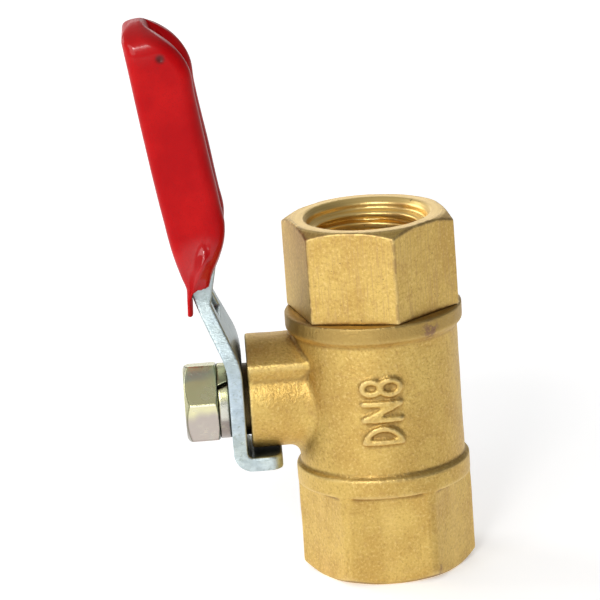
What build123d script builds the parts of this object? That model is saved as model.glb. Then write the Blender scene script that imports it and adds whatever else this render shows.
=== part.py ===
from build123d import *
import math
import os

# Small two-piece ball valve, quarter-inch pipe size, with a side lever. Millimetres.
# Origin: centre of the lower port face. +Z runs up the flow axis to the upper port.
# The stem leaves the body along -X, and the raised size mark faces -Y.

# --- driving dimensions -------------------------------------------------------
LENGTH = 40.4                # face to face
AXIS_Z = LENGTH / 2          # height of the ball's centre and of the stem's axis
HEX_AF = 17.0                # across the flats of both wrench hexagons
UPPER_HEX_TURN = 44.6        # degrees from +X to a corner of the upper hexagon
SEAM_Z = AXIS_Z + 9.8        # where the end connector meets the body
GAP = 0.03                   # clearance between pieces that fit together

# outside of the body
UPPER_COLLAR_R = 9.84
UPPER_COLLAR_LAND = 1.8
BARREL_R = 9.18
LOWER_COLLAR_R = 9.68
LOWER_COLLAR_BOTTOM = AXIS_Z - 9.9
LOWER_COLLAR_TOP = AXIS_Z - 7.4
COLLAR_EASE = 0.4            # height of the slope on top of the lower collar
HEX_ROUND = 1.2
UPPER_FACE_R = 8.5           # each end face, inside its chamfer
LOWER_FACE_R = 8.3
CHAMFER_SLOPE = math.tan(math.radians(30))

# ports: pipe thread G 1/4
THREAD_PITCH = 1.337
THREAD_MINOR_R = 5.72
THREAD_DEPTH = 0.80
THREAD_CREST = 0.70          # flat left between two turns of the groove
THREAD_ROOT = 0.16           # width of the groove's bottom
THREAD_OVERLAP = 0.25        # how far the cutter starts inside the bore
THREAD_START = 0.10          # turns the thread's start: the cutter begins this much further out
PORT_MOUTH_R = 7.14
PORT_SINK = 0.54             # depth of the mouth's countersink, which is cut at 45 degrees
PORT_STEP = 1.15             # a plain step behind it ends at this depth
PORT_LEAD = 0.3              # then a short slope leads to the crest of the thread
PORT_DEPTH = 10.0
PORT_PLAIN = 1.8             # plain bore left at the bottom of the thread
FLOW_R = 4.0

# ball and seats, measured from the ball's centre
BALL_R = 6.5
BALL_BORE_R = 3.75
SLOT_WIDTH = 3.0
SLOT_DEPTH = 2.0
SEAT_OUTER_R = 6.0
SEAT_NEAR = 3.9
SEAT_FAR = 6.3
CAVITY_R = 6.7
SPIGOT_R = 7.5               # the end connector's shank inside the body
SHOULDER = 5.0
SEAL_THICKNESS = 0.3

# stem, boss and lug, measured outward along -X from the flow axis
STEM_R = 4.0
STEM_FLAT = 3.2              # half the distance across the stem's flats
STEM_COLLAR_R = 4.6
STEM_RECESS = 0.15           # the flats end this far short of the lever's outer face
TONGUE_HALF = 3.6            # half the length of the tongue in the ball's slot
COLLAR_START = 6.62
COLLAR_END = 7.8
WASHER_THICKNESS = 0.5
BOSS_R = 5.5
BOSS_END = 14.45
LUG_R = 7.25
LUG_FRONT = 42.0             # degrees above the front where the lug starts
LUG_ROUND = 0.7
LUG_FOOT = (4.5, 2.9)        # front and height where the lug's front face meets the boss
BOSS_ROOT_ROUND = 1.2
STOP_PLAY = 0.1              # between the tab and the back stop when open
GROOVE_R = 3.28
GROOVE_WIDTH = 1.2
GROOVE_STARTS = (9.0, 10.9)
RING_PLAY = 0.1              # between a sealing ring and each side of its groove
RING_ROUND = 0.25

# lever, pressed from sheet; heights are above the stem's axis
SHEET = 1.6
LEVER_INNER = 15.0           # inner face of the lever's foot
FOOT_HALF = 6.5
FOOT_LOW = -1.5              # the foot's full width runs between these heights
FOOT_HIGH = 6.5
TAB_SHOULDER = -5.0          # the tab's width starts to grow here
OUTLINE_END = -9.0
OUTLINE_ROUNDS = (2.0, 4.0, 4.0, 4.0)
GRIP_HALF = 4.3
GRIP_DEPTH = 4.9
BEND_LOW = 5.4
BEND_HIGH = 14.2
LEVER_TOP = 43.2
LEAN = 23.0                  # degrees from upright, between the two bends
GRIP_LEAN = 8.45
BEND_RADII = (2.1, 8.0, 33.0)
TAB_HALF = 4.4
TAB_TOP = -5.65
TAB_END = 11.2
TAB_CORNER = 1.5
TIP_CORNER = 2.6             # rounding of the grip's end, seen along the stem
TIP_FLAT = 1.6               # the flanges' tips: level part, fall to full depth, roundings
TIP_FALL = 5.8
TIP_ROUNDS = (1.2, 12.0)
FLANGE_RISE = 5.2            # where the flanges reach full depth, up the grip
FLANGE_FOOT = -2.2           # where they start from the web
FLANGE_ROUND = 4.0
FLANGE_HEEL = 2.24           # depth of the flanges where they start
SLEEVE_START = 1.0
SLEEVE_EASE = 0.16           # looser over the web's inner face, which still curves there
VINYL = 0.75

# fasteners
SCREW_R = 2.48
SCREW_LENGTH = 6.0
SCREW_POINT = 0.4            # chamfer at the screw's end
SCREW_ROOM = 0.3             # hole left beyond the screw's end
HEAD_AF = 8.4
HEAD_HEIGHT = 3.7
HEAD_CHAMFER = 0.75
HEAD_BEVEL = 0.3             # how far the top chamfer cuts inside the flats
HEAD_UNDERCUT = 0.3          # height of the small chamfer next to the washer
HEAD_TURN = 12.0             # degrees above the front to a corner of the head
SPRING_WASHER_R = 4.2
SPRING_WASHER = 1.3
SPRING_WASHER_EDGE = 0.12
SPLIT_WIDTH = 0.45
SPLIT_TURN = 40.0            # degrees above the front
SPLIT_SLANT = 22.0

# raised mark
MARK_HALF = 2.1
MARK_STROKE = 0.62
MARK_RAISE = 0.35
MARK_DEPTH = 1.5             # how far below the barrel's face the strokes are rooted
D_SPINE = -3.45              # places along the mark, measured up from the stem's height
D_BELLY = -1.9
N_FEET = (-0.85, 0.95)
EIGHT_AT = 2.8
EIGHT_RINGS = ((-1.07, 1.1), (1.1, 1.0))    # centre and radius of each ring of the figure
EIGHT_SQUASH = 0.72

# --- derived places -------------------------------------------------------------
LEVER_OUTER = LEVER_INNER + SHEET
HEAD_START = LEVER_OUTER + SPRING_WASHER
SIDE = Plane(origin=(0, 0, AXIS_Z), x_dir=(1, 0, 0), z_dir=(0, -1, 0))
STEM_AXIS = Axis((0, 0, AXIS_Z), (-1, 0, 0))


def stem_plane(distance):
    """Plane square to the stem, facing outward: its x points to the front, its y up."""
    return Plane(origin=(-distance, 0, AXIS_Z), x_dir=(0, -1, 0), z_dir=(-1, 0, 0))


def polar(radius, degrees):
    return (radius * math.cos(math.radians(degrees)), radius * math.sin(math.radians(degrees)))


def export(piece, name):
    piece.part.label = name
    export_step(piece.part, f"parts/{name}.step")


os.makedirs("parts", exist_ok=True)

# --- cutter for a port's thread: a V-groove that winds up into the lower port --------
with BuildPart() as thread_groove:
    root_r = THREAD_MINOR_R + THREAD_DEPTH
    start_r = THREAD_MINOR_R - THREAD_OVERLAP
    half_root = THREAD_ROOT / 2
    half_crest = (THREAD_PITCH - THREAD_CREST) / 2
    half_start = half_crest + (half_crest - half_root) * (THREAD_MINOR_R - start_r) / THREAD_DEPTH
    with BuildLine():
        Helix(
            THREAD_PITCH,
            PORT_DEPTH - PORT_PLAIN + THREAD_PITCH,
            THREAD_MINOR_R,
            center=(0, 0, -THREAD_PITCH - THREAD_START),
        )
    cutter_foot = (0, 0, -THREAD_PITCH - THREAD_START)
    with BuildSketch(Plane(origin=cutter_foot, x_dir=(1, 0, 0), z_dir=(0, -1, 0))):
        with BuildLine():
            Polyline(
                (start_r, -half_start),
                (root_r, -half_root),
                (root_r, half_root),
                (start_r, half_start),
                close=True,
            )
        make_face()
    sweep(is_frenet=True)

# --- raised size mark, wrapped on the front of the barrel --------------------------
with BuildPart() as mark:
    with BuildSketch(Plane(origin=(0, -BARREL_R + MARK_DEPTH, AXIS_Z), x_dir=(0, 0, 1), z_dir=(0, -1, 0))):
        with BuildLine() as letters:
            Line((D_SPINE, -MARK_HALF), (D_SPINE, MARK_HALF))
            ThreePointArc((D_SPINE, MARK_HALF), (D_BELLY, 0), (D_SPINE, -MARK_HALF))
            Line((N_FEET[0], -MARK_HALF), (N_FEET[0], MARK_HALF))
            Line((N_FEET[0], MARK_HALF), (N_FEET[1], -MARK_HALF))
            Line((N_FEET[1], -MARK_HALF), (N_FEET[1], MARK_HALF))
        for stroke in letters.edges():
            trace(stroke, line_width=MARK_STROKE)
        with Locations(*[(end.X, end.Y) for end in letters.vertices()]):
            Circle(MARK_STROKE / 2)
        for grow, mode in ((MARK_STROKE / 2, Mode.ADD), (-MARK_STROKE / 2, Mode.SUBTRACT)):
            for centre, radius in EIGHT_RINGS:
                with Locations((EIGHT_AT, centre)):
                    Ellipse(radius * EIGHT_SQUASH + grow, radius + grow, mode=mode)
    extrude(amount=2 * MARK_DEPTH)
    with Locations((0, 0, AXIS_Z)):
        Cylinder(BARREL_R + MARK_RAISE, 2 * BARREL_R, mode=Mode.INTERSECT)

# --- body: hexagon, collars and barrel, boss, lug and mark ---------------------------
with BuildPart() as lower_hex:
    with BuildSketch():
        RegularPolygon(HEX_AF / 2, 6, major_radius=False)
        fillet(vertices(), HEX_ROUND)
    extrude(amount=LOWER_COLLAR_BOTTOM + 1)
    with BuildSketch(Plane.XZ):
        with BuildLine():
            Polyline(
                (0, 0),
                (LOWER_FACE_R, 0),
                (LOWER_FACE_R + 2, 2 * CHAMFER_SLOPE),
                (LOWER_FACE_R + 2, LOWER_COLLAR_BOTTOM),
                (LOWER_COLLAR_R, LOWER_COLLAR_BOTTOM + 1),
                (0, LOWER_COLLAR_BOTTOM + 1),
                close=True,
            )
        make_face()
    revolve(axis=Axis.Z, mode=Mode.INTERSECT)

with BuildPart() as body:
    with BuildSketch(Plane.XZ):
        collar_step = UPPER_COLLAR_R - BARREL_R
        with BuildLine():
            Polyline(
                (0, LOWER_COLLAR_BOTTOM),
                (LOWER_COLLAR_R, LOWER_COLLAR_BOTTOM),
                (LOWER_COLLAR_R, LOWER_COLLAR_TOP - COLLAR_EASE),
                (BARREL_R, LOWER_COLLAR_TOP),
                (BARREL_R, SEAM_Z - UPPER_COLLAR_LAND - collar_step),
                (UPPER_COLLAR_R, SEAM_Z - UPPER_COLLAR_LAND),
                (UPPER_COLLAR_R, SEAM_Z),
                (0, SEAM_Z),
                close=True,
            )
        make_face()
    revolve(axis=Axis.Z)
    with BuildSketch(stem_plane(0)):
        Circle(BOSS_R)
    extrude(amount=BOSS_END)
    fillet(edges().filter_by(GeomType.BSPLINE), BOSS_ROOT_ROUND)
    with BuildSketch(stem_plane(0)):
        stop_x = -(TAB_HALF + STOP_PLAY)
        stop_y = -math.sqrt(LUG_R**2 - stop_x**2)
        front = polar(LUG_R, LUG_FRONT)
        Circle(BOSS_R)
        with BuildLine():
            Polyline((0, 0), LUG_FOOT, front)
            ThreePointArc(front, polar(LUG_R, LUG_FRONT + 90), (stop_x, stop_y))
            Polyline((stop_x, stop_y), (stop_x, 0), (0, 0))
        make_face()
        for step in (LUG_ROUND, -2 * LUG_ROUND, LUG_ROUND):
            offset(amount=step)
    extrude(amount=BOSS_END)
    add(lower_hex.part)
    add(mark.part)

    # flow bore, seat pocket, ball cavity and the bore for the end connector
    with BuildSketch(Plane.XZ):
        with BuildLine():
            Polyline(
                (0, 0),
                (PORT_MOUTH_R, 0),
                (PORT_MOUTH_R - PORT_SINK, PORT_SINK),
                (PORT_MOUTH_R - PORT_SINK, PORT_STEP),
                (THREAD_MINOR_R, PORT_STEP + PORT_LEAD),
                (THREAD_MINOR_R, PORT_DEPTH),
                (FLOW_R, PORT_DEPTH + 1),
                (FLOW_R, AXIS_Z - SEAT_FAR - GAP),
                (SEAT_OUTER_R + GAP, AXIS_Z - SEAT_FAR - GAP),
                (SEAT_OUTER_R + GAP, AXIS_Z - SEAT_NEAR),
                (CAVITY_R, AXIS_Z - SEAT_NEAR),
                (CAVITY_R, AXIS_Z + SHOULDER),
                (SPIGOT_R + GAP, AXIS_Z + SHOULDER),
                (SPIGOT_R + GAP, SEAM_Z),
                (0, SEAM_Z),
                close=True,
            )
        make_face()
    revolve(axis=Axis.Z, mode=Mode.SUBTRACT)
    add(thread_groove.part, mode=Mode.SUBTRACT)

    # stem bore with the pocket for the stem's collar
    with BuildSketch(stem_plane(0)):
        Circle(STEM_R + GAP)
    extrude(amount=BOSS_END, mode=Mode.SUBTRACT)
    with BuildSketch(stem_plane(SEAT_OUTER_R)):
        Circle(STEM_COLLAR_R + GAP)
    extrude(amount=COLLAR_END + WASHER_THICKNESS + 2 * GAP - SEAT_OUTER_R, mode=Mode.SUBTRACT)
export(body, "body")

# --- end connector: hexagon, shank, port -------------------------------------------
with BuildPart() as end_connector:
    with BuildSketch(Plane.XY.offset(SEAM_Z)):
        RegularPolygon(HEX_AF / 2, 6, major_radius=False, rotation=UPPER_HEX_TURN)
    extrude(amount=LENGTH - SEAM_Z)
    with BuildSketch(Plane.XZ):
        with BuildLine():
            Polyline(
                (0, SEAM_Z),
                (UPPER_FACE_R + 2, SEAM_Z),
                (UPPER_FACE_R + 2, LENGTH - 2 * CHAMFER_SLOPE),
                (UPPER_FACE_R, LENGTH),
                (0, LENGTH),
                close=True,
            )
        make_face()
    revolve(axis=Axis.Z, mode=Mode.INTERSECT)
    spigot_end = AXIS_Z + SHOULDER + SEAL_THICKNESS
    with BuildSketch(Plane.XY.offset(spigot_end)):
        Circle(SPIGOT_R)
    extrude(amount=SEAM_Z - spigot_end)
    with BuildSketch(Plane.XZ):
        with BuildLine():
            Polyline(
                (0, spigot_end),
                (SEAT_OUTER_R + GAP, spigot_end),
                (SEAT_OUTER_R + GAP, AXIS_Z + SEAT_FAR + GAP),
                (FLOW_R, AXIS_Z + SEAT_FAR + GAP),
                (FLOW_R, LENGTH - PORT_DEPTH - 1),
                (THREAD_MINOR_R, LENGTH - PORT_DEPTH),
                (THREAD_MINOR_R, LENGTH - PORT_STEP - PORT_LEAD),
                (PORT_MOUTH_R - PORT_SINK, LENGTH - PORT_STEP),
                (PORT_MOUTH_R - PORT_SINK, LENGTH - PORT_SINK),
                (PORT_MOUTH_R, LENGTH),
                (0, LENGTH),
                close=True,
            )
        make_face()
    revolve(axis=Axis.Z, mode=Mode.SUBTRACT)
    with Locations(Location((0, 0, LENGTH), (180, 0, 0))):
        add(thread_groove.part, mode=Mode.SUBTRACT)
export(end_connector, "end_connector")

with BuildPart() as body_seal:
    with BuildSketch(Plane.XY.offset(AXIS_Z + SHOULDER)):
        Circle(SPIGOT_R)
        Circle(CAVITY_R + 2 * GAP, mode=Mode.SUBTRACT)
    extrude(amount=SEAL_THICKNESS)
export(body_seal, "body_seal")

# --- ball, shown open: its bore lies along the flow, its slot across it ----------------
with BuildPart() as ball:
    with Locations((0, 0, AXIS_Z)):
        Sphere(BALL_R)
        Cylinder(BALL_BORE_R, 2 * BALL_R, mode=Mode.SUBTRACT)
    with BuildSketch(stem_plane(BALL_R - SLOT_DEPTH)):
        Rectangle(2 * BALL_R, SLOT_WIDTH)
    extrude(amount=SLOT_DEPTH, mode=Mode.SUBTRACT)
export(ball, "ball")


def seat(side):
    """Seat ring below (side -1) or above (side 1) the ball, with a round face."""
    with BuildPart() as ring:
        with BuildSketch(Plane.XY.offset(AXIS_Z + side * SEAT_NEAR)):
            Circle(SEAT_OUTER_R)
            Circle(FLOW_R, mode=Mode.SUBTRACT)
        extrude(amount=side * (SEAT_FAR - SEAT_NEAR))
        with Locations((0, 0, AXIS_Z)):
            Sphere(BALL_R + GAP, mode=Mode.SUBTRACT)
    return ring


export(seat(-1), "seat_lower")
export(seat(1), "seat_upper")

# --- stem: tongue, collar, two ring grooves, flats for the lever, screw hole ------------
with BuildPart() as stem:
    with BuildSketch(stem_plane(BALL_R - SLOT_DEPTH + 2 * GAP)):
        Circle(TONGUE_HALF)
        Rectangle(2 * STEM_R, SLOT_WIDTH - 3 * GAP, mode=Mode.INTERSECT)
    extrude(amount=COLLAR_START - BALL_R + SLOT_DEPTH - 2 * GAP)
    with BuildSketch(stem_plane(COLLAR_START)):
        Circle(STEM_COLLAR_R)
    extrude(amount=COLLAR_END - COLLAR_START)
    with BuildSketch(stem_plane(COLLAR_END)):
        Circle(STEM_R)
    extrude(amount=LEVER_INNER - COLLAR_END)
    with BuildSketch(stem_plane(LEVER_INNER)):
        Circle(STEM_R)
        Rectangle(2 * STEM_FLAT, 2 * STEM_R, mode=Mode.INTERSECT)
    extrude(amount=SHEET - STEM_RECESS)
    for groove_start in GROOVE_STARTS:
        with BuildSketch(stem_plane(groove_start)):
            Circle(STEM_R)
            Circle(GROOVE_R, mode=Mode.SUBTRACT)
        extrude(amount=GROOVE_WIDTH, mode=Mode.SUBTRACT)
    with BuildSketch(stem_plane(HEAD_START - SCREW_LENGTH - SCREW_ROOM)):
        Circle(SCREW_R + GAP)
    extrude(amount=SCREW_LENGTH + 1, mode=Mode.SUBTRACT)
export(stem, "stem")

with BuildPart() as thrust_washer:
    with BuildSketch(stem_plane(COLLAR_END + GAP)):
        Circle(STEM_COLLAR_R)
        Circle(STEM_R + GAP, mode=Mode.SUBTRACT)
    extrude(amount=WASHER_THICKNESS)
export(thrust_washer, "thrust_washer")


def o_ring(groove_start):
    """Stem seal at its squeezed size, with round outer edges."""
    with BuildPart() as ring:
        with BuildSketch(stem_plane(groove_start + RING_PLAY)):
            Circle(STEM_R + GAP / 3)
            Circle(GROOVE_R + GAP, mode=Mode.SUBTRACT)
        extrude(amount=GROOVE_WIDTH - 2 * RING_PLAY)
        fillet(edges().filter_by(GeomType.CIRCLE), RING_ROUND)
    return ring


export(o_ring(GROOVE_STARTS[0]), "o_ring_inner")
export(o_ring(GROOVE_STARTS[1]), "o_ring_outer")

# --- lever: foot with the stop tab, two bends, channel grip -----------------------------
lean = math.radians(LEAN)
grip_lean = math.radians(GRIP_LEAN)
bend_x = -LEVER_OUTER - (BEND_HIGH - BEND_LOW) * math.tan(lean)
tip_x = bend_x - (LEVER_TOP - BEND_HIGH) * math.tan(grip_lean)
GRIP = Plane(
    origin=(bend_x, 0, AXIS_Z + BEND_HIGH),
    x_dir=(math.cos(grip_lean), 0, math.sin(grip_lean)),
    z_dir=(0, -1, 0),
)
grip_length = (LEVER_TOP - BEND_HIGH) / math.cos(grip_lean)

ACROSS_GRIP = Plane(origin=GRIP.origin, x_dir=GRIP.x_dir, z_dir=GRIP.y_dir)
BEHIND_GRIP = Plane(origin=GRIP.origin, x_dir=(0, 1, 0), z_dir=GRIP.x_dir)


def flange_side(skin):
    """Side view of a flange and the web behind it, thickened by skin. Drawn on the GRIP plane."""
    with BuildSketch(GRIP) as side_view:
        with BuildLine():
            FilletPolyline(
                (SHEET / 2, FLANGE_FOOT),
                (SHEET / 2, grip_length),
                (TIP_FLAT, grip_length),
                (GRIP_DEPTH, grip_length - TIP_FALL),
                (GRIP_DEPTH, FLANGE_RISE),
                (FLANGE_HEEL, FLANGE_FOOT),
                close=True,
                radius=(0, 0, *TIP_ROUNDS, FLANGE_ROUND, 0),
            )
        make_face()
        if skin:
            with BuildLine():
                Polyline(
                    (0, FLANGE_FOOT),
                    (0, grip_length),
                    (SHEET, grip_length),
                    (SHEET, FLANGE_FOOT),
                    close=True,
                )
            make_face()
            offset(amount=skin)
    return side_view.sketch


with BuildPart() as lever:
    # web: one strip bent into tab, foot, leaning neck and grip
    with BuildSketch(SIDE):
        with BuildLine():
            face_line = FilletPolyline(
                (-TAB_END, TAB_TOP - SHEET),
                (-LEVER_OUTER, TAB_TOP - SHEET),
                (-LEVER_OUTER, BEND_LOW),
                (bend_x, BEND_HIGH),
                (tip_x, LEVER_TOP),
                radius=BEND_RADII,
            )
            offset(face_line, amount=SHEET, side=Side.RIGHT)
        make_face()
    extrude(amount=FOOT_HALF, both=True)
    # two flanges turned towards the body
    flange = extrude(flange_side(0), amount=GRIP_HALF)
    mirror(flange, about=Plane.XZ)
    with BuildSketch(ACROSS_GRIP.offset(2 * FLANGE_FOOT)):
        with Locations((SHEET + GRIP_DEPTH / 2, 0)):
            Rectangle(GRIP_DEPTH, 2 * (GRIP_HALF - SHEET))
    extrude(amount=grip_length - 3 * FLANGE_FOOT, mode=Mode.SUBTRACT)
    # outline of the strip seen along the stem
    with BuildSketch(Plane.YZ.offset(-30)):
        with BuildLine():
            half_outline = FilletPolyline(
                (0, AXIS_Z + OUTLINE_END),
                (TAB_HALF, AXIS_Z + OUTLINE_END),
                (TAB_HALF, AXIS_Z + TAB_SHOULDER),
                (FOOT_HALF, AXIS_Z + FOOT_LOW),
                (FOOT_HALF, AXIS_Z + FOOT_HIGH),
                (GRIP_HALF, AXIS_Z + BEND_HIGH - SHEET),
                (GRIP_HALF, AXIS_Z + LEVER_TOP),
                (0, AXIS_Z + LEVER_TOP),
                radius=(0, *OUTLINE_ROUNDS, TIP_CORNER),
            )
            mirror(half_outline, about=Plane.YZ)
        make_face()
    extrude(amount=30, mode=Mode.INTERSECT)
    # rounded corners of the tab, and the flatted hole for the stem
    with BuildSketch(Plane.XY.offset(AXIS_Z + TAB_TOP - SHEET)):
        with Locations((-TAB_END - 4, 0)):
            Rectangle(8, 2 * TAB_HALF)
        with Locations((-TAB_END - 4, 0)):
            RectangleRounded(8, 2 * TAB_HALF, TAB_CORNER, mode=Mode.SUBTRACT)
        with Locations((-TAB_END - 6, 0)):
            Rectangle(4, 2 * TAB_HALF, mode=Mode.SUBTRACT)
    extrude(amount=SHEET, mode=Mode.SUBTRACT)
    with BuildSketch(stem_plane(LEVER_INNER)):
        Circle(STEM_R + 2 * GAP)
        Rectangle(2 * STEM_FLAT + 2 * GAP, 3 * STEM_R, mode=Mode.INTERSECT)
    extrude(amount=SHEET, mode=Mode.SUBTRACT)
export(lever, "lever")

# --- sleeve: a soft skin over the channel grip, closed at the tip --------------------------


def grip_channel(skin, start, ease=0):
    """The grip's channel, thickened by skin on every face, from a height up the grip to its tip."""
    half = GRIP_HALF + skin
    wall = SHEET + 2 * skin
    reach = grip_length - start + skin
    with BuildPart() as channel:
        extrude(flange_side(skin), amount=half, both=True)
        with BuildSketch(ACROSS_GRIP.offset(FLANGE_FOOT - 2 * skin)):
            with Locations((wall - skin + ease + GRIP_DEPTH, 0)):
                Rectangle(2 * GRIP_DEPTH, 2 * (half - wall))
        extrude(amount=grip_length + TIP_FALL, mode=Mode.SUBTRACT)
        with BuildSketch(BEHIND_GRIP):
            with Locations((0, start + reach / 2)):
                Rectangle(2 * half, reach)
            fillet(vertices().group_by(Axis.Y)[-1], TIP_CORNER + skin)
        extrude(amount=3 * GRIP_DEPTH, both=True, mode=Mode.INTERSECT)
    return channel.part


with BuildPart() as lever_sleeve:
    add(grip_channel(VINYL, SLEEVE_START))
    add(grip_channel(GAP, SLEEVE_START - 1, SLEEVE_EASE), mode=Mode.SUBTRACT)
export(lever_sleeve, "lever_sleeve")

# --- split spring washer and hexagon screw ------------------------------------------------
with BuildPart() as lock_washer:
    with BuildSketch(stem_plane(LEVER_OUTER)):
        Circle(SPRING_WASHER_R)
        Circle(SCREW_R + 5 * GAP, mode=Mode.SUBTRACT)
    extrude(amount=SPRING_WASHER)
    chamfer(edges().filter_by(GeomType.CIRCLE), SPRING_WASHER_EDGE)
    split_angle = math.radians(SPLIT_TURN)
    slant = math.radians(SPLIT_SLANT)
    outward = Vector(0, -math.cos(split_angle), math.sin(split_angle))
    around = Vector(0, math.sin(split_angle), math.cos(split_angle))
    slit = Plane(
        origin=Vector(-LEVER_OUTER - SPRING_WASHER / 2, 0, AXIS_Z) + outward * SPRING_WASHER_R,
        x_dir=outward,
        z_dir=Vector(-1, 0, 0) * math.cos(slant) - around * math.sin(slant),
    )
    with Locations(slit):
        Box(2 * SPRING_WASHER_R - 2, SPLIT_WIDTH, 3 * SPRING_WASHER, mode=Mode.SUBTRACT)
export(lock_washer, "lock_washer")

with BuildPart() as lever_bolt:
    with BuildSketch(stem_plane(HEAD_START)):
        RegularPolygon(HEAD_AF / 2, 6, major_radius=False, rotation=HEAD_TURN)
    extrude(amount=HEAD_HEIGHT)
    head_end = HEAD_START + HEAD_HEIGHT
    with BuildSketch(SIDE):
        with BuildLine():
            Polyline(
                (-HEAD_START, 0),
                (-HEAD_START, HEAD_AF / 2 + 0.1),
                (-HEAD_START - HEAD_UNDERCUT, HEAD_AF / 2 + 1),
                (-head_end + HEAD_CHAMFER, HEAD_AF / 2 + 1),
                (-head_end, HEAD_AF / 2 - HEAD_BEVEL),
                (-head_end, 0),
                close=True,
            )
        make_face()
    revolve(axis=STEM_AXIS, mode=Mode.INTERSECT)
    with BuildSketch(stem_plane(HEAD_START)):
        Circle(SCREW_R)
    extrude(amount=-SCREW_LENGTH)
    chamfer(edges().group_by(Axis.X)[-1], SCREW_POINT)
export(lever_bolt, "lever_bolt")
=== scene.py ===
import bpy, bmesh, math
import numpy as np
from mathutils import Matrix, Vector, noise
from mathutils.bvhtree import BVHTree


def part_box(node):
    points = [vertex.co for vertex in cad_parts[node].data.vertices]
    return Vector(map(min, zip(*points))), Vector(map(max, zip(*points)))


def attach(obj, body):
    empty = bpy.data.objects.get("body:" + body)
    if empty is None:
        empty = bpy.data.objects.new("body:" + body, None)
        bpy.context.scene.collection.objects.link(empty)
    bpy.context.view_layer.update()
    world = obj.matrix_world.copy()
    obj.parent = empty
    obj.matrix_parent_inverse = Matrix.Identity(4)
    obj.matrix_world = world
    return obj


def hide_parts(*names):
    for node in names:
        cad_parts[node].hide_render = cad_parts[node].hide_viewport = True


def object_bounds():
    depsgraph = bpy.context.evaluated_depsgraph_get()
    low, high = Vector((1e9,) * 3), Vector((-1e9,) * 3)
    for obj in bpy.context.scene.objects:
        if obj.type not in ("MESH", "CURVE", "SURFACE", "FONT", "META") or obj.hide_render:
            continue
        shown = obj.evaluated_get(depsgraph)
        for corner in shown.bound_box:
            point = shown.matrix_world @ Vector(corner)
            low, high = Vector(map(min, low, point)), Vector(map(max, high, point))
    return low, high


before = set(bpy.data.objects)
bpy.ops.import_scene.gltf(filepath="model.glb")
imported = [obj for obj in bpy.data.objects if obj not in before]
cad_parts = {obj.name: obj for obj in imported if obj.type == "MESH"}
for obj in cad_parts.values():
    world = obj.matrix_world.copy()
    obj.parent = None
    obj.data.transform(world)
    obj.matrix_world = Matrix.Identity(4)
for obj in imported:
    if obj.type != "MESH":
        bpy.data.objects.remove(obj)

cad_low, cad_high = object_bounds()

MM = 0.001
AXIS_Z = (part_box("ball")[0].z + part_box("ball")[1].z) / 2
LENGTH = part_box("end_connector")[1].z
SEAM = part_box("body")[1].z

# the lever's grip, in millimetres: u is depth towards the body, v runs up the grip, w across it
GRIP_START = (-20.335, 34.4)
GRIP_LEAN = math.radians(8.45)
GRIP_LENGTH = 29.32
GRIP_HALF = 4.3
DENT_U, DENT_V = 3.0, 26.0   # a small dent in the vinyl's near side
SHEET = 1.6
VINYL = 0.75
TIP_SKIN = 0.45              # the vinyl over the grip's end
FREE = 0.03                  # between the vinyl and the metal under it
TIP_CORNER = 2.6             # radius of the grip's corners, seen flat on
TIP_ROUND = 1.6              # radius of the vinyl over the grip's end, seen from the side
# radii of the sleeve's section: in the channel, inside and outside the rim, at the back
FLOOR_ROUND = 0.6
LIP_IN = 1.35
LIP_OUT = 1.55
BACK_ROUND = 1.25
BEND_START = 4.2             # the metal curves away from the grip's line below this height
BEND_RADIUS = 33
# where the vinyl ends at its foot: the free flap, the sides, the rim, the channel
FLAP_END = -2.55
SIDE_END = -0.5
LIP_END = 0.05
CHANNEL_END = 0.35

# the round parts of the brass, in metres from the flow axis or up it
LOWER_MOUTH_R = 0.0086
LOWER_MOUTH_Z = 0.0115
UPPER_MOUTH_R = 0.0074
COLLAR_R = 0.0088
FRONT = -0.0078

SHADOW_BROWN = (0.20, 0.11, 0.03)
HOLLOW_SHADE_BROWN = (0.24, 0.13, 0.04)
SMUDGE = (0.20, 0.10, 0.09)
STEEL_SHADOW = (0.03, 0.045, 0.03)


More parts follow.
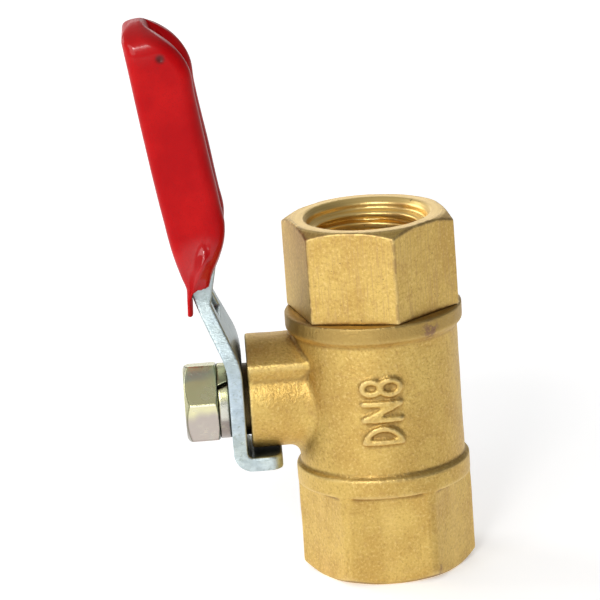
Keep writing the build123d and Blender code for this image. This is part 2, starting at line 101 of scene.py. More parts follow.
# ---------------------------------------------------------------- node helpers
class Nodes:
    """Short way to build a material's node tree."""

    def __init__(self, name):
        self.material = bpy.data.materials.new(name)
        self.material.use_nodes = True
        self.tree = self.material.node_tree
        self.tree.nodes.clear()
        self.output = self.add("ShaderNodeOutputMaterial")
        self.surface = self.add("ShaderNodeBsdfPrincipled")
        self.link(self.surface.outputs[0], self.output.inputs[0])
        self.place = self.add("ShaderNodeTexCoord").outputs["Object"]
        axes = self.add("ShaderNodeSeparateXYZ")
        self.link(self.place, axes.inputs[0])
        self.x, self.y, self.z = axes.outputs

    def add(self, kind, **settings):
        node = self.tree.nodes.new(kind)
        for key, value in settings.items():
            setattr(node, key, value)
        return node

    def link(self, out, into):
        self.tree.links.new(out, into)

    def feed(self, socket, value):
        if isinstance(value, bpy.types.NodeSocket):
            self.link(value, socket)
        else:
            socket.default_value = value

    def stretched(self, along):
        node = self.add("ShaderNodeMapping")
        self.link(self.place, node.inputs["Vector"])
        node.inputs["Scale"].default_value = along
        return node.outputs[0]

    def band(self, value, low, high):
        """0 at low, 1 at high, eased between."""
        node = self.add("ShaderNodeMapRange", interpolation_type="SMOOTHSTEP")
        self.feed(node.inputs[0], value)
        node.inputs[1].default_value, node.inputs[2].default_value = low, high
        return node.outputs[0]

    def spot(self, centre, inner, outer):
        """1 within inner of a point, 0 beyond outer."""
        node = self.add("ShaderNodeVectorMath", operation="DISTANCE")
        self.link(self.place, node.inputs[0])
        node.inputs[1].default_value = centre
        return self.band(node.outputs["Value"], outer, inner)

    def bore(self):
        """Distance from the flow axis."""
        squares = [self.maths("MULTIPLY", value, value) for value in (self.x, self.y)]
        return self.maths("SQRT", self.maths("ADD", *squares))

    def lathe(self, scale):
        """Fine marks left by turning about the flow axis."""
        node = self.add("ShaderNodeCombineXYZ")
        for k, value in ((0, self.bore()), (2, self.z)):
            self.feed(node.inputs[k], self.maths("MULTIPLY", value, scale))
        return self.noise(1.0, 2.0, 0.5, place=node.outputs[0])

    def hidden(self, reach):
        """Ambient occlusion as a mask for painted shade: 1 in gaps and under overhangs, 0 in the open."""
        node = self.add("ShaderNodeAmbientOcclusion", samples=6)
        node.inputs["Distance"].default_value = reach
        return self.band(node.outputs["AO"], 0.75, 0.15)

    def relief(self, low, high):
        """0 at low, 1 at high: how far an edge stands out, in millimetres, or lies hollow, if negative."""
        return self.band(self.add("ShaderNodeAttribute", attribute_name="relief").outputs["Fac"], low, high)

    def noise(self, scale, detail=3.0, rough=0.55, distort=0.0, place=None):
        node = self.add("ShaderNodeTexNoise")
        self.link(place or self.place, node.inputs["Vector"])
        node.inputs["Scale"].default_value = scale
        node.inputs["Detail"].default_value = detail
        node.inputs["Roughness"].default_value = rough
        node.inputs["Distortion"].default_value = distort
        return node.outputs["Fac"]

    def mix(self, share, first, second, how="MIX"):
        node = self.add("ShaderNodeMix", data_type="RGBA", blend_type=how)
        self.feed(node.inputs[0], share)
        for socket, value in ((node.inputs[6], first), (node.inputs[7], second)):
            self.feed(socket, (*value, 1) if isinstance(value, tuple) else value)
        return node.outputs[2]

    def tint(self, colour, mask, amount, paint):
        """Paints over a colour where the mask is high."""
        return self.mix(self.maths("MULTIPLY", mask, amount), colour, paint)

    def maths(self, how, first, second=0.0):
        node = self.add("ShaderNodeMath", operation=how)
        for socket, value in zip(node.inputs, (first, second)):
            self.feed(socket, value)
        return node.outputs[0]

    def facing(self):
        """The three parts of the surface's direction."""
        node = self.add("ShaderNodeSeparateXYZ")
        self.link(self.add("ShaderNodeNewGeometry").outputs["Normal"], node.inputs[0])
        return node.outputs

    def bump(self, height, depth, strength):
        node = self.add("ShaderNodeBump")
        node.inputs["Strength"].default_value = strength
        node.inputs["Distance"].default_value = depth
        self.feed(node.inputs["Height"], height)
        return node.outputs[0]

    def set(self, **values):
        names = {"colour": "Base Color", "metal": "Metallic", "rough": "Roughness", "normal": "Normal",
                 "coat": "Coat Weight", "coat_rough": "Coat Roughness", "specular": "Specular IOR Level"}
        for key, value in values.items():
            if isinstance(value, tuple):
                value = (*value, 1)
            self.feed(self.surface.inputs[names[key]], value)
        return self.material


# ---------------------------------------------------------------- materials
def brass(name, machined, grit=1.0):
    """Shot-blasted brass, and its colour. machined returns the share of bare turned metal."""
    n = Nodes(name)
    grain = n.noise(3300, 2.0, 0.65)
    speck = n.noise(1300, 3.0, 0.6)
    patch = n.noise(210, 4.0, 0.6)
    stain = n.noise(95, 5.0, 0.62, 0.6)
    bare = machined(n)
    colour = n.mix(n.band(patch, 0.35, 0.68), (0.57, 0.370, 0.104), (0.69, 0.488, 0.148))
    colour = n.tint(colour, n.band(speck, 0.52, 0.72), 0.45, (0.54, 0.34, 0.12))
    colour = n.tint(colour, n.band(grain, 0.50, 0.74), 0.55, (0.82, 0.62, 0.24))
    colour = n.tint(colour, n.band(grain, 0.48, 0.28), 0.55, (0.42, 0.25, 0.07))
    colour = n.tint(colour, n.band(stain, 0.60, 0.74), 0.55, (0.38, 0.20, 0.07))
    # painted shade: hollows darkened brown
    colour = n.tint(colour, n.relief(-0.018, -0.085), 0.60, HOLLOW_SHADE_BROWN)
    # painted highlight: raised edges lightened, where the brass is also rubbed bright
    colour = n.tint(colour, n.relief(0.020, 0.120), 0.40, (0.88, 0.70, 0.33))
    colour = n.tint(colour, n.hidden(0.0012), 0.65, SHADOW_BROWN)
    marks = n.lathe(9000)
    turned = n.mix(n.band(marks, 0.3, 0.7), (0.80, 0.56, 0.19), (0.90, 0.67, 0.26))
    colour = n.mix(bare, colour, turned)
    rough = n.maths("ADD", n.maths("MULTIPLY", patch, 0.16), 0.40)
    rough = n.maths("SUBTRACT", rough, n.maths("MULTIPLY", bare, 0.10))
    height = n.maths("ADD", grain, n.maths("MULTIPLY", speck, 0.8))
    height = n.maths("MULTIPLY", height, n.maths("SUBTRACT", 1.0, n.maths("MULTIPLY", bare, 0.8)))
    n.set(metal=1.0, rough=rough, normal=n.bump(height, 0.00008, 0.8 * grit))
    return n, colour


def body_brass():
    def machined(n):
        inside = n.band(n.bore(), LOWER_MOUTH_R, LOWER_MOUTH_R - 0.0004)
        return n.maths("MULTIPLY", inside, n.band(n.z, LOWER_MOUTH_Z, LOWER_MOUTH_Z - 0.0015))
    n, colour = brass("body_brass", machined)
    collar = n.maths("MULTIPLY", n.band(n.z, SEAM - 0.0026, SEAM - 0.0012),
                     n.band(n.bore(), COLLAR_R, COLLAR_R + 0.0004))
    colour = n.tint(colour, collar, 0.80, (0.40, 0.265, 0.085))
    smudge = n.maths("MULTIPLY", n.band(n.noise(1400, 4.0, 0.6), 0.42, 0.55), 0.65)
    for place, size in (((0.0060, FRONT, SEAM - 0.0013), 0.0016), ((0.0048, FRONT + 0.0002, 0.0012), 0.0011)):
        colour = n.tint(colour, n.spot(place, size * 0.3, size), smudge, SMUDGE)
    return n.set(colour=colour)


def connector_brass():
    def machined(n):
        inside = n.band(n.bore(), UPPER_MOUTH_R, UPPER_MOUTH_R - 0.0003)
        top = n.band(n.z, LENGTH - 0.00022, LENGTH - 0.00008)
        return n.maths("MAXIMUM", inside, n.maths("MULTIPLY", top, 0.8))
    n, colour = brass("connector_brass", machined, 0.45)
    streaks = n.noise(1.0, 3.0, 0.6, place=n.stretched((5200, 5200, 260)))
    fleck = n.noise(2600, 2.0, 0.5)
    outside = n.band(n.bore(), 0.0078, 0.0082)
    drawn = n.maths("MULTIPLY", n.band(streaks, 0.52, 0.34), outside)
    colour = n.tint(colour, drawn, 0.55, (0.52, 0.33, 0.13))
    colour = n.tint(colour, n.band(fleck, 0.30, 0.24), 0.7, (0.22, 0.13, 0.06))
    rub = n.maths("MULTIPLY", n.relief(0.020, 0.070), n.band(n.noise(900, 4.0, 0.6), 0.40, 0.56))
    colour = n.tint(colour, n.maths("MULTIPLY", rub, outside), 0.50, (0.30, 0.17, 0.07))
    return n.set(colour=colour)


def turned_brass():
    n = Nodes("turned_brass")
    rings = n.noise(1.0, 2.0, 0.5, place=n.stretched((9000, 200, 200)))
    tarnish = n.noise(600, 4.0, 0.6)
    colour = n.mix(n.band(rings, 0.3, 0.7), (0.46, 0.31, 0.12), (0.70, 0.50, 0.20))
    colour = n.tint(colour, n.band(tarnish, 0.5, 0.7), 0.6, (0.16, 0.12, 0.08))
    # painted shade: near black where the stem lies in the gap under the lever
    colour = n.tint(colour, n.hidden(0.0040), 0.95, (0.025, 0.018, 0.010))
    return n.set(colour=colour, metal=1.0, rough=0.42, normal=n.bump(rings, 0.00003, 0.6))


def zinc():
    n = Nodes("zinc")
    mottle = n.noise(620, 5.0, 0.65, 0.3)
    drift = n.noise(120, 2.0, 0.5)
    crackle = n.noise(2100, 4.0, 0.7, 0.8)
    grain = n.noise(6500, 2.0, 0.6)
    side = n.band(n.maths("ABSOLUTE", n.facing()[1]), 0.75, 0.95)
    shear = n.noise(1.0, 3.0, 0.6, place=n.stretched((900, 900, 6000)))
    colour = n.mix(n.band(mottle, 0.32, 0.68), (0.42, 0.50, 0.51), (0.64, 0.73, 0.73))
    colour = n.tint(colour, n.band(drift, 0.50, 0.66), 0.35, (0.44, 0.55, 0.72))
    colour = n.tint(colour, n.band(drift, 0.46, 0.32), 0.30, (0.66, 0.58, 0.64))
    colour = n.tint(colour, n.band(crackle, 0.47, 0.34), 0.55, (0.27, 0.33, 0.28))
    colour = n.tint(colour, n.maths("MULTIPLY", side, n.band(shear, 0.52, 0.30)), 0.35, (0.30, 0.36, 0.34))
    # painted shade: the lever darker above about 23 to 26 mm, damping the reflection on its upper part
    colour = n.tint(colour, n.band(n.z, 0.0232, 0.0262), 0.45, (0.36, 0.43, 0.44))
    low = n.maths("ADD", n.maths("MULTIPLY", n.band(n.z, 0.0310, 0.0270), 0.72), 0.20)
    colour = n.tint(colour, n.hidden(0.0022), low, STEEL_SHADOW)
    tears = n.maths("MULTIPLY", n.maths("MULTIPLY", shear, side), 1.6)
    height = n.maths("ADD", n.maths("MULTIPLY", grain, 0.4), tears)
    rough = n.maths("ADD", n.maths("MULTIPLY", mottle, 0.20), 0.30)
    return n.set(colour=colour, metal=1.0, rough=rough, normal=n.bump(height, 0.00006, 0.7))


def chromate(name, shade):
    n = Nodes(name)
    film = n.noise(150, 2.0, 0.5, 0.8)
    mottle = n.noise(900, 3.0, 0.55)
    grain = n.noise(6000, 2.0, 0.5)
    drift = n.maths("MULTIPLY", n.maths("SUBTRACT", film, 0.5), 2.4)
    side = n.maths("ADD", n.band(n.z, AXIS_Z - 0.0016, AXIS_Z + 0.0016), drift)
    colour = n.mix(n.band(side, 0.2, 0.8), (0.42, 0.36, 0.36), (0.72, 0.69, 0.42))
    colour = n.tint(colour, n.band(film, 0.44, 0.32), 0.5, (0.42, 0.52, 0.50))
    colour = n.tint(colour, n.band(mottle, 0.50, 0.72), 0.3, (0.70, 0.68, 0.55))
    facing = n.facing()
    across = n.maths("ABSOLUTE", facing[0])
    level = n.band(n.maths("ABSOLUTE", facing[2]), 0.36, 0.16)
    crease_highlight = n.maths("MULTIPLY", level, n.band(across, 0.16, 0.05))
    # painted shade: dark where the surface leans partly along the bolt's axis, on the chamfers' rounding
    rim = n.maths("MULTIPLY", n.band(across, 0.12, 0.45), n.band(across, 0.97, 0.80))
    colour = n.tint(colour, rim, 0.75, (0.16, 0.16, 0.11))
    # painted highlight: near white along the level crease between the head's front facets
    colour = n.tint(colour, crease_highlight, 0.90, (0.96, 0.96, 0.92))
    # painted shade: dark in the gaps by the head and the washer
    colour = n.tint(colour, n.hidden(0.0010), 0.8, (0.06, 0.06, 0.04))
    colour = n.mix(1.0, colour, (shade, shade, shade * 0.92), "MULTIPLY")
    rough = n.maths("ADD", n.maths("MULTIPLY", mottle, 0.12), 0.20)
    return n.set(colour=colour, metal=1.0, rough=rough, normal=n.bump(grain, 0.00003, 0.4))


def vinyl():
    n = Nodes("vinyl")
    cloud = n.noise(240, 3.0, 0.55)
    peel = n.noise(1300, 2.0, 0.5)
    fine = n.noise(7000, 2.0, 0.6)
    colour = n.mix(n.band(cloud, 0.30, 0.70), (0.41, 0.002, 0.004), (0.50, 0.005, 0.006))
    colour = n.tint(colour, n.band(fine, 0.52, 0.68), 0.55, (0.32, 0.005, 0.007))
    burn = n.spot(near_side(DENT_U, DENT_V), 0.00020, 0.00075)
    colour = n.tint(colour, burn, 0.85, (0.08, 0.02, 0.02))
    height = n.maths("ADD", peel, n.maths("MULTIPLY", fine, 0.18))
    fold = n.maths("MULTIPLY", n.spot(near_side(2.4, 2.6), 0.0016, 0.0038), 0.65)
    tip = n.maths("MULTIPLY", n.spot(near_side(1.5, 28.5, 4.0), 0.0010, 0.0036), 0.35)
    shine = n.maths("ADD", n.maths("ADD", fold, tip), 0.07)
    rough = n.maths("ADD", n.maths("MULTIPLY", cloud, 0.10), 0.27)
    return n.set(colour=colour, metal=0.0, rough=rough, normal=n.bump(height, 0.00004, 0.30),
                 specular=0.06, coat=shine, coat_rough=0.10)


def plain(name, colour, metal, rough):
    n = Nodes(name)
    grain = n.noise(3000)
    cloud = n.noise(300)
    dark = tuple(c * 0.75 for c in colour)
    clouded = n.mix(n.band(cloud, 0.3, 0.7), dark, colour)
    colour = n.mix(n.band(grain, 0.3, 0.7), clouded, colour)
    return n.set(colour=colour, metal=metal, rough=rough, normal=n.bump(grain, 0.00003, 0.4))


# ---------------------------------------------------------------- worn metal pieces
RELAX = 0.5                  # how far a point moves to its neighbours' middle in one round
RELIEF_ROUNDS = 24             # rounds that the relief attribute compares with


def relax(points, edges, rounds, share):
    """Pulls every point towards its neighbours, so that edges wear round."""
    one, other = edges.T
    total = len(points)
    neighbours = np.bincount(edges.ravel(), minlength=total)[:, None]
    for _ in range(rounds):
        pull = [np.bincount(one, points[other, k], total) + np.bincount(other, points[one, k], total)
                for k in range(3)]
        points = points + share * (np.stack(pull, 1) / neighbours - points)
    return points


def read(items, field, width, kind=np.float64):
    values = np.zeros(len(items) * width, kind)
    items.foreach_get(field, values)
    return values.reshape(-1, width)


def everywhere(points):
    return np.ones(len(points))


def worn(node, cell, rounds, body, share=everywhere, ripple=0.0, ripple_size=3.0):
    """Stands for a metal node: one even mesh, its edges worn and its faces slightly uneven."""
    shape = bmesh.new()
    shape.from_mesh(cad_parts[node].data)
    bmesh.ops.remove_doubles(shape, verts=shape.verts, dist=1e-7)
    bmesh.ops.scale(shape, vec=(1 / MM,) * 3, verts=shape.verts)
    rough = bpy.data.meshes.new(node + "_rough")
    shape.to_mesh(rough)
    surface = BVHTree.FromBMesh(shape)
    shape.free()
    piece = bpy.data.objects.new(node + "_worn", rough)
    bpy.context.scene.collection.objects.link(piece)
    even = piece.modifiers.new("even", "REMESH")
    even.mode, even.voxel_size, even.use_smooth_shade = "VOXEL", cell, True
    view = bpy.context.evaluated_depsgraph_get()
    mesh = bpy.data.meshes.new_from_object(piece.evaluated_get(view))
    piece.modifiers.clear()
    piece.data = mesh
    mesh.name = piece.name
    points = np.array([surface.find_nearest(v.co)[0] for v in mesh.vertices])
    edges = read(mesh.edges, "vertices", 2, np.int32)
    points = relax(points, edges, rounds, RELAX * share(points)[:, None])
    if ripple:
        mesh.vertices.foreach_set("co", points.ravel())
        mesh.update()
        normals = read(mesh.vertex_normals, "vector", 3)
        swell = np.array([noise.noise(Vector(p / ripple_size)) for p in points])
        points = points + normals * swell[:, None] * ripple * share(points)[:, None]
    mesh.vertices.foreach_set("co", points.ravel())
    mesh.update()
    normals = read(mesh.vertex_normals, "vector", 3)
    stand_out = ((points - relax(points, edges, RELIEF_ROUNDS, RELAX)) * normals).sum(1)
    relief = mesh.attributes.new("relief", "FLOAT", "POINT")
    relief.data.foreach_set("value", stand_out.astype(np.float32))
    mesh.vertices.foreach_set("co", (points * MM).ravel())
    mesh.update()
    mesh.shade_smooth()
    mesh.materials.clear()
    mesh.materials.append(MATERIALS[node])
    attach(piece, body)
    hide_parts(node)
    return piece


def outside(radius, low, high):
    """Full wear outside a bore's radius or beyond its ends, light wear inside it."""
    def share(points):
        r = np.hypot(points[:, 0], points[:, 1])
        inside = (r < radius) & (points[:, 2] > low) & (points[:, 2] < high)
        return np.where(inside, 0.6, 1.0)
    return share


# ---------------------------------------------------------------- vinyl sleeve
def grip_point(u, v, w):
    """Grip coordinates to the row frame, both in millimetres."""
    x = GRIP_START[0] + u * math.cos(GRIP_LEAN) - v * math.sin(GRIP_LEAN)
    z = GRIP_START[1] + u * math.sin(GRIP_LEAN) + v * math.cos(GRIP_LEAN)
    return x, w, z


def near_side(u, v, w=5.0):
    """A place on the grip's side towards the front, in metres."""
    return tuple(value * MM for value in grip_point(u, v, -w))


def curve(v, *stops):
    """A smooth line through a few (v, value) stops."""
    at = np.array([s[0] for s in stops], float)
    value = np.array([s[1] for s in stops], float)
    slope = np.gradient(value, at)
    v = np.clip(v, at[0], at[-1])
    k = np.clip(np.searchsorted(at, v) - 1, 0, len(at) - 2)
    span = at[k + 1] - at[k]
    t = (v - at[k]) / span
    return ((2 * t**3 - 3 * t**2 + 1) * value[k] + (t**3 - 2 * t**2 + t) * span * slope[k]
            + (3 * t**2 - 2 * t**3) * value[k + 1] + (t**3 - t**2) * span * slope[k + 1])


def rim_depth(v):
    """Depth of the vinyl's open edges up the grip, seen from the side."""
    return curve(v, (-4, 2.3), (0, 2.6), (0.9, 3.15), (2.5, 4.25), (4.0, 5.05), (6.0, 5.66), (9, 5.72),
                 (21, 5.72), (23.8, 5.80), (25.6, 5.25), (27.2, 4.25), (28.3, 3.20), (29.0, 2.40),
                 (29.6, 1.7), (31, 1.5))


def back_depth(v):
    """Depth of the vinyl's back. Below the grip it leaves the metal and hangs free."""
    return curve(v, (-2.6, -0.50), (-1.1, -0.20), (0.1, 0.02), (1.3, -0.22), (2.7, -0.45), (5.9, -0.69),
                 (8, -VINYL), (31, -VINYL))


def metal_back(v):
    """Depth of the metal's back face."""
    return np.where(v < BEND_START, (BEND_START - v) ** 2 / (2 * BEND_RADIUS), 0.0)


def half_section(v, skin):
    """Where half the sleeve's section stands at height v: channel floor and wall, rim, outer wall, back."""
    outer = skin > FREE
    top = GRIP_LENGTH + min(skin, TIP_SKIN)
    corner = TIP_CORNER + skin
    round_top = TIP_ROUND if outer else 0.1
    drop = np.clip(v - (top - corner), 0, corner)
    fall = np.clip(v - (top - round_top), 0, round_top)
    inset = round_top - np.sqrt(np.maximum(round_top**2 - fall**2, 0))
    width = GRIP_HALF + skin - corner + np.sqrt(np.maximum(corner**2 - drop**2, 0)) - inset
    width = width + np.where(v < 2.5, 0.03 * (2.5 - v) ** 2, 0.0)
    floor = SHEET + skin + (0.0 if outer else 0.16) - 0.7 * inset
    back = back_depth(v) + inset if outer else np.minimum(metal_back(v) - FREE, back_depth(v) + 0.62)
    rim = np.maximum(rim_depth(v) - (0 if outer else VINYL - FREE), floor)
    wall = np.minimum(GRIP_HALF - SHEET - skin, 0.6 * width)
    return floor, wall, rim, width, back


# the stretches of the half section, with the points along each
SECTION = (("floor", 9), ("inner corner", 5), ("wall", 9), ("rim in", 8), ("rim", 4), ("rim out", 9),
           ("side", 14), ("back corner", 9), ("back", 11))


def section_points(v, skin, part, q):
    """Points of the half section: part is the stretch of it, q runs 0 to 1 along the stretch."""
    floor, wall, rim, width, back = half_section(v, skin)
    soft = 1.0 if skin > FREE else 0.12
    room = np.maximum(rim - floor, 0)
    r_in = np.minimum(FLOOR_ROUND * soft, room / 2)
    r_lip = np.minimum(LIP_IN * soft, np.minimum(room / 2, (width - wall) / 2))
    r_out = np.minimum(LIP_OUT * soft, np.minimum(width - wall - r_lip, (rim - back) / 2))
    r_back = np.interp(v, (-1.0, 2.5, 27.6, 29.2), (0.35, BACK_ROUND, BACK_ROUND, 0.65)) * soft
    r_back = np.minimum(r_back, np.minimum(rim - back - r_out, width / 2))
    turn = q * math.pi / 2
    s, c = np.sin(turn), np.cos(turn)
    mix = lambda a, b: a + (b - a) * q
    choices = {
        "floor": (mix(0 * v, wall - r_in), floor),
        "inner corner": (wall - r_in + r_in * s, floor + r_in - r_in * c),
        "wall": (wall, mix(floor + r_in, rim - r_lip)),
        "rim in": (wall + r_lip - r_lip * c, rim - r_lip + r_lip * s),
        "rim": (mix(wall + r_lip, width - r_out), rim),
        "rim out": (width - r_out + r_out * s, rim - r_out + r_out * c),
        "side": (width, mix(rim - r_out, back + r_back)),
        "back corner": (width - r_back + r_back * c, back + r_back - r_back * s),
        "back": (mix(width - r_back, 0 * v), back),
    }
    w, u = choices[part]
    return w + 0 * v, u + 0 * v


def skin_grid(skin, heights, low):
    """Rows of points up the sleeve. low gives each stretch's lower end; heights run 0 to 1."""
    columns = []
    for part, count in SECTION:
        for i in range(count):
            columns.append((part, i / count if part != "back" else i / (count - 1)))
    half = []
    for part, q in columns:
        start = low(part, q)
        v = start + (GRIP_LENGTH + min(skin, TIP_SKIN) - start) * heights
        w, u = section_points(v, skin, part, q)
        half.append(np.stack([u, v, w], 1))
    half = np.stack(half, 1)
    other = half[:, -2:0:-1].copy()
    other[..., 2] *= -1
    return np.concatenate([half, other], 1)


def sleeve_low(part, q):
    """Where each stretch of the sleeve ends at its foot: a free flap at the back, a short lip elsewhere."""
    if part == "back":
        return FLAP_END
    if part == "back corner":
        t = min(1.0, q / 0.3)
        return SIDE_END + (FLAP_END - SIDE_END) * t * t * (3 - 2 * t)
    if part == "side":
        t = max(0.0, (q - 0.4) / 0.6)
        return LIP_END + (SIDE_END - LIP_END) * t * t + 0.06 * math.sin(9 * q)
    return LIP_END + 0.05 * math.sin(20 * q) if part in ("rim out", "rim") else CHANNEL_END


def shape_vinyl(grid):
    """Folds, dent and slight unevenness of the dipped skin, on the outer rows."""
    u, v, w = grid[..., 0].copy(), grid[..., 1].copy(), grid[..., 2].copy()
    sideways = np.clip((np.abs(w) - 3.4) / 1.2, 0, 1) * np.sign(w)
    # a fold runs from the flange's foot down into the flap
    along = np.clip((4.3 - v) / 5.2, -0.2, 1.2)
    fold_u = 3.2 - 3.0 * along
    near = np.exp(-(((u - fold_u) / 0.42) ** 2)) * np.exp(-(((along - 0.55) / 0.42) ** 4))
    valley = np.exp(-(((u - fold_u - 0.95) / 0.55) ** 2)) * np.exp(-(((along - 0.5) / 0.42) ** 4))
    pinch = np.exp(-(((u - 3.25) / 0.26) ** 2 + ((v - 4.3) / 0.90) ** 2))
    hollow = np.exp(-(((u - fold_u + 1.3) / 0.9) ** 2)) * np.exp(-(((v - 2.2) / 1.6) ** 2))
    up_fold, over_fold = 0.5 * (u - 2.5) + 0.866 * (v - 2.5), 0.866 * (u - 2.5) - 0.5 * (v - 2.5)
    knuckle = np.exp(-((over_fold / 1.05) ** 2 + (up_fold / 2.0) ** 2))
    w += sideways * (0.26 * near - 0.12 * valley - 0.14 * pinch - 0.14 * hollow + 0.66 * knuckle)
    dent = np.exp(-(((u - DENT_U) / 0.30) ** 2 + ((v - DENT_V) / 0.24) ** 2)) * (w < 0)
    w -= sideways * 0.32 * dent
    wave = np.array([noise.noise(Vector((a / 2.6, b / 4.2, c / 2.6))) for a, b, c in
                     zip(u.ravel(), v.ravel(), w.ravel())]).reshape(u.shape)
    fade = np.clip((GRIP_LENGTH - v) / 2, 0.2, 1)
    w += np.sign(w) * np.clip(np.abs(w) - 1.5, 0, 1) * 0.07 * wave * fade
    u += 0.05 * wave * fade
    return np.stack([u, v, w], -1)


SLEEVE_ROWS = 150            # rows up the sleeve; the last TIP_SHARE of them are replaced by finer ones
TIP_SHARE = 26
TIP_ROWS = 44


def make_sleeve():
    even = np.linspace(0, 1, SLEEVE_ROWS)
    ease = np.sin(np.linspace(0, 1, TIP_ROWS) * math.pi / 2)
    heights = np.concatenate([even[:-TIP_SHARE], 1 - (1 - even[-TIP_SHARE]) * (1 - ease)])
    outer = shape_vinyl(skin_grid(VINYL, heights, sleeve_low))
    inner = skin_grid(FREE, heights, sleeve_low)
    edge_rows = []
    for turn in np.linspace(0, math.pi, 7)[1:-1]:
        share = (1 - math.cos(turn)) / 2
        row = outer[0] * (1 - share) + inner[0] * share
        row[:, 1] -= 0.24 * math.sin(turn)
        edge_rows.append(row)
    rings = np.concatenate([outer[::-1], np.array(edge_rows), inner], 0)
    count, across = rings.shape[:2]
    x, y, z = grip_point(rings[..., 0], rings[..., 1], rings[..., 2])
    points = np.stack([x, y, z], -1).reshape(-1, 3) * MM
    k = np.arange(across)
    faces = []
    for r in range(count - 1):
        a, b = r * across + k, (r + 1) * across + k
        faces.extend(np.stack([a, np.roll(a, -1), np.roll(b, -1), b], 1).tolist())
    faces.append(list(range(across))[::-1])
    faces.append([(count - 1) * across + i for i in range(across)])
    mesh = bpy.data.meshes.new("sleeve")
    mesh.from_pydata(points.tolist(), [], faces)
    tidy = bmesh.new()
    tidy.from_mesh(mesh)
    bmesh.ops.remove_doubles(tidy, verts=tidy.verts, dist=2e-6)
    bmesh.ops.recalc_face_normals(tidy, faces=tidy.faces)
    tidy.to_mesh(mesh)
    tidy.free()
    mesh.shade_smooth()
    mesh.materials.append(MATERIALS["lever_sleeve"])
    sleeve = bpy.data.objects.new("sleeve", mesh)
    bpy.context.scene.collection.objects.link(sleeve)
    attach(sleeve, "handle")
    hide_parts("lever_sleeve")


MATERIALS = {
    "body": body_brass(),
    "end_connector": connector_brass(),
    "stem": turned_brass(),
    "ball": plain("plated_ball", (0.7, 0.7, 0.7), 1.0, 0.12),
    "seat_lower": plain("seat_plastic", (0.85, 0.85, 0.82), 0.0, 0.5),
    "lever": zinc(),
    "lever_sleeve": vinyl(),
    "lever_bolt": chromate("chromate", 1.0),
    "lock_washer": chromate("washer_chromate", 0.70),
    "o_ring_inner": plain("rubber", (0.02, 0.02, 0.02), 0.0, 0.5),
}
MATERIALS["seat_upper"] = MATERIALS["thrust_washer"] = MATERIALS["body_seal"] = MATERIALS["seat_lower"]
MATERIALS["o_ring_outer"] = MATERIALS["o_ring_inner"]
for name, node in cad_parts.items():
    node.data.materials.clear()
    node.data.materials.append(MATERIALS[name])

# node, voxel size in millimetres, rounds of wear, body, share of wear
worn("body", 0.16, 5, "valve_body", outside(7.3, -1, 11), ripple=0.05)
worn("end_connector", 0.14, 3, "valve_body", outside(7.05, 29, 42), ripple=0.015)
worn("lever", 0.14, 3, "handle", ripple=0.02, ripple_size=4.0)
worn("lever_bolt", 0.09, 4, "handle")
worn("lock_washer", 0.09, 3, "handle")
make_sleeve()


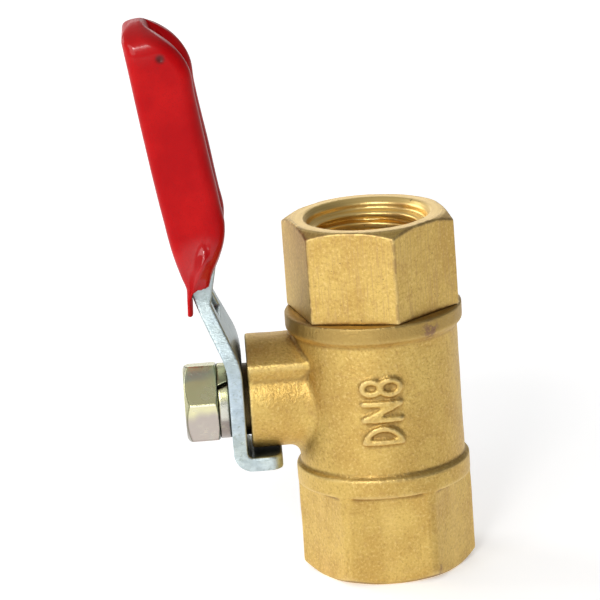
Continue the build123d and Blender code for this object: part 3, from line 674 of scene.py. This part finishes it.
# ---------------------------------------------------------------- stage
def make_stage():
    bpy.ops.mesh.primitive_plane_add(size=6, location=(0, 0, cad_low.z - 0.00002))
    floor = bpy.context.object
    floor.name = "floor"
    n = Nodes("floor_paint")
    paper = n.noise(60, 3.0, 0.5)
    paint = n.mix(paper, (0.92, 0.92, 0.92), (0.95, 0.95, 0.95))
    n.surface.inputs["Emission Color"].default_value = (1, 1, 1, 1)
    n.surface.inputs["Emission Strength"].default_value = 0.40
    floor.data.materials.append(n.set(colour=paint, metal=0.0, rough=0.9))
    world = bpy.data.worlds.new("studio")
    bpy.context.scene.world = world
    world.use_nodes = True
    sky = world.node_tree.nodes["Background"]
    sky.inputs[1].default_value = 0.44
    # dimmer towards +x
    way = world.node_tree.nodes.new("ShaderNodeTexCoord")
    axes = world.node_tree.nodes.new("ShaderNodeSeparateXYZ")
    shade = world.node_tree.nodes.new("ShaderNodeMapRange")
    shade.inputs[1].default_value, shade.inputs[2].default_value = 0.05, 0.75
    shade.inputs[3].default_value, shade.inputs[4].default_value = 1.0, 0.35
    for out, into in ((way.outputs["Generated"], axes.inputs[0]), (axes.outputs[0], shade.inputs[0]),
                      (shade.outputs[0], sky.inputs[0])):
        world.node_tree.links.new(out, into)


def soft_light(name, at, size, power, look=(-0.005, 0, 0.025)):
    """An area light, in metres and watts, turned to a point on the valve."""
    data = bpy.data.lights.new(name, "AREA")
    data.shape = "RECTANGLE"
    data.size, data.size_y = size
    data.energy = power
    lamp = bpy.data.objects.new(name, data)
    bpy.context.scene.collection.objects.link(lamp)
    lamp.location = at
    lamp.rotation_euler = (Vector(look) - Vector(at)).to_track_quat("-Z", "Y").to_euler()


def make_camera(azimuth, elevation, roll, distance, target, lens):
    """Angles in degrees, distance and target in metres, lens in millimetres."""
    a, e, r = (math.radians(v) for v in (azimuth, elevation, roll))
    back = Vector((math.sin(a) * math.cos(e), -math.cos(a) * math.cos(e), math.sin(e)))
    right = (-back).cross(Vector((0, 0, 1))).normalized()
    up = right.cross(-back)
    turned_right = right * math.cos(r) + up * math.sin(r)
    turned_up = up * math.cos(r) - right * math.sin(r)
    data = bpy.data.cameras.new("camera")
    data.lens = lens
    data.sensor_width = 36
    data.clip_start, data.clip_end = 0.05, 20
    camera = bpy.data.objects.new("camera", data)
    bpy.context.scene.collection.objects.link(camera)
    rotation = Matrix((turned_right, turned_up, back)).transposed().to_4x4()
    camera.matrix_world = Matrix.Translation(Vector(target) + back * distance) @ rotation
    bpy.context.scene.camera = camera


make_stage()
soft_light("key", (-0.34, -0.60, 0.34), (0.55, 0.42), 2.35)
soft_light("spark", (-0.16, -0.62, 0.42), (0.10, 0.10), 0.9)
soft_light("left", (-0.62, 0.30, 0.26), (0.45, 0.45), 2.1)
soft_light("right", (0.70, 0.20, 0.26), (0.25, 0.45), 0.1)
soft_light("back", (0.0, 0.62, 0.215), (0.50, 0.14), 0.40, (0, 0, 0.044))
make_camera(-0.51, 15.51, -4.245, 0.5036, (-0.00799, 0, AXIS_Z + 0.01088), 272.85)
bpy.context.scene.view_settings.view_transform = "Standard"
